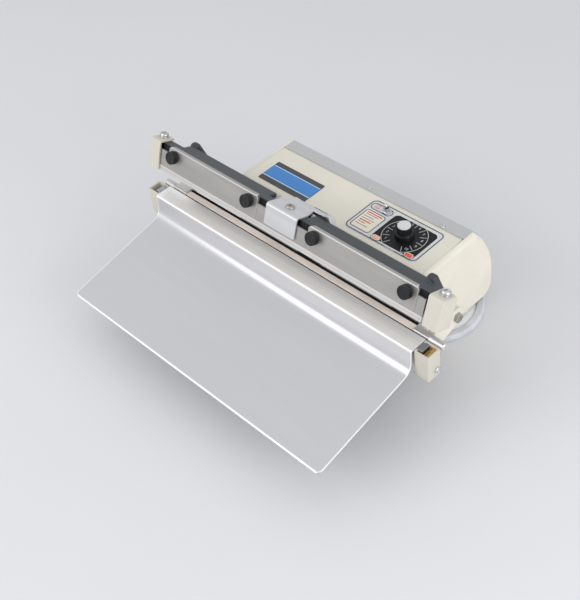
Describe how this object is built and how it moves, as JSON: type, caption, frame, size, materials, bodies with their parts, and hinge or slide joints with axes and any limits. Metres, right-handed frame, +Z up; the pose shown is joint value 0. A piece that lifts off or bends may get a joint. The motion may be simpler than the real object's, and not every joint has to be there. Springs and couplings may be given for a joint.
{
  "type": "impulse sealer",
  "caption": "Table-top impulse bag sealer: a hinged upper jaw pulled shut by a solenoid, a sloping work table in front and a timer dial on the rounded body.",
  "frame": {"origin": "middle of the bounding box's underside, on the desk under the feet, upper jaw open", "axes": "+X along the jaw to the user's right, +Y from the work table towards the round back, +Z up"},
  "size_m": [0.3728, 0.2964, 0.1532],
  "materials": {
    "cream_paint": "satin paint",
    "cream_plastic": "smooth moulding",
    "grey_paint": "satin paint",
    "bare_steel": "brushed",
    "bright_steel": "polished plating",
    "table_steel": "fine satin",
    "silver_alloy": "satin anodised",
    "plate_alloy": "satin anodised",
    "black_paint": "satin paint",
    "black_alloy": "black satin anodised",
    "black_plastic": "matt moulding",
    "cap_plastic": "smooth moulding",
    "printed_plate": "printed film",
    "stripe_film": "printed film",
    "red_lens": "clear lens",
    "white_foot": "smooth moulding",
    "grey_rubber": "matt",
    "black_rubber": "matt",
    "brass": "turned",
    "insulation": "woven tape",
    "release_tape": "coated glass cloth",
    "core_steel": "laminated",
    "winding": "taped",
    "copper_winding": "enamelled wire",
    "board": "solder mask"
  },
  "bodies": {
    "sealer_body": {"base_tray": "bare_steel", "end_cover_left": "cream_plastic", "end_cover_right": "cream_plastic", "top_panel": "cream_paint", "rear_cover": "grey_paint", "cover_screws": "bright_steel", "control_plate": "printed_plate", "stripe_plate": "stripe_film", "pilot_lamps": "red_lens", "timer_pot": "bare_steel", "switch_body": "bright_steel", "bush_nuts": "bright_steel", "transformer_core": "core_steel", "transformer_coil": "winding", "solenoid_frame": "bare_steel", "solenoid_coil": "copper_winding", "return_spring": "bare_steel", "circuit_board": "board", "board_posts": "bare_steel", "chassis_plate": "bare_steel", "cord_gland": "black_plastic", "foot_dishes": "white_foot", "foot_rims": "grey_rubber", "foot_bolts": "bare_steel", "lower_beam": "silver_alloy", "lower_block_left": "cream_plastic", "lower_block_right": "cream_plastic", "block_screws": "bright_steel", "block_lugs": "bare_steel", "brass_sleeve": "brass", "heater_seat": "silver_alloy", "insulation_strip": "insulation", "heating_ribbon": "bare_steel", "release_sheet": "release_tape", "terminal_clamps": "bare_steel", "terminal_studs": "bright_steel", "work_table": "table_steel", "table_brackets": "bare_steel", "hinge_arms": "cream_paint", "hinge_bolts": "bright_steel"},
    "upper_jaw": {"press_bar": "black_alloy", "jaw_profile": "silver_alloy", "rubber_strip": "black_rubber", "clamp_plate_left": "plate_alloy", "clamp_plate_right": "plate_alloy", "centre_bracket": "table_steel", "bracket_screw": "bright_steel", "upper_cap_left": "cream_plastic", "upper_cap_right": "cream_plastic", "cap_screws": "bright_steel", "jaw_arms": "black_paint", "pull_pin": "bare_steel"},
    "closing_slide_body": {"closing_plunger": "bare_steel"},
    "timer_dial": {"timer_knob": "black_plastic", "knob_cap": "cap_plastic", "timer_spindle": "bare_steel"},
    "power_toggle": {"toggle_lever": "bright_steel"},
    "thumb_1": {"thumbscrew_1": "black_plastic"},
    "thumb_2": {"thumbscrew_2": "black_plastic"},
    "thumb_3": {"thumbscrew_3": "black_plastic"},
    "thumb_4": {"thumbscrew_4": "black_plastic"}
  },
  "joints": [
    {"name": "jaw_hinge", "type": "hinge", "parent": "sealer_body", "child": "upper_jaw", "pos_m": [0, 0.03075, 0.0915], "axis": [1, 0, 0], "range_deg": [0, 21], "stiffness_Nm_per_rad": 2, "springref_deg": -28.65},
    {"name": "closing_slide", "type": "slide", "parent": "sealer_body", "child": "closing_slide_body", "axis": [0, 0, -1], "range_m": [0, 0.00514], "deforming": ["return_spring"]},
    {"name": "timer_turn", "type": "hinge", "parent": "sealer_body", "child": "timer_dial", "pos_m": [0.072, 0.07425, 0.105], "axis": [0, 0, 1], "range_deg": [-150, 150]},
    {"name": "toggle_tip", "type": "hinge", "parent": "sealer_body", "child": "power_toggle", "pos_m": [0.036, 0.09075, 0.1046], "axis": [-1, 0, 0], "range_deg": [0, 24]},
    {"name": "thumb_turn_1", "type": "hinge", "parent": "upper_jaw", "child": "thumb_1", "pos_m": [-0.14875, -0.01139, 0.14356], "axis": [0, 0.9336, -0.3584], "continuous": true},
    {"name": "thumb_turn_2", "type": "hinge", "parent": "upper_jaw", "child": "thumb_2", "pos_m": [-0.04225, -0.01139, 0.14356], "axis": [0, 0.9336, -0.3584], "continuous": true},
    {"name": "thumb_turn_3", "type": "hinge", "parent": "upper_jaw", "child": "thumb_3", "pos_m": [0.04225, -0.01139, 0.14356], "axis": [0, 0.9336, -0.3584], "continuous": true},
    {"name": "thumb_turn_4", "type": "hinge", "parent": "upper_jaw", "child": "thumb_4", "pos_m": [0.14875, -0.01139, 0.14356], "axis": [0, 0.9336, -0.3584], "continuous": true}
  ],
  "couplings": [
    {"joint": "closing_slide", "follows": "jaw_hinge", "m_per_rad": 0.014}
  ]
}
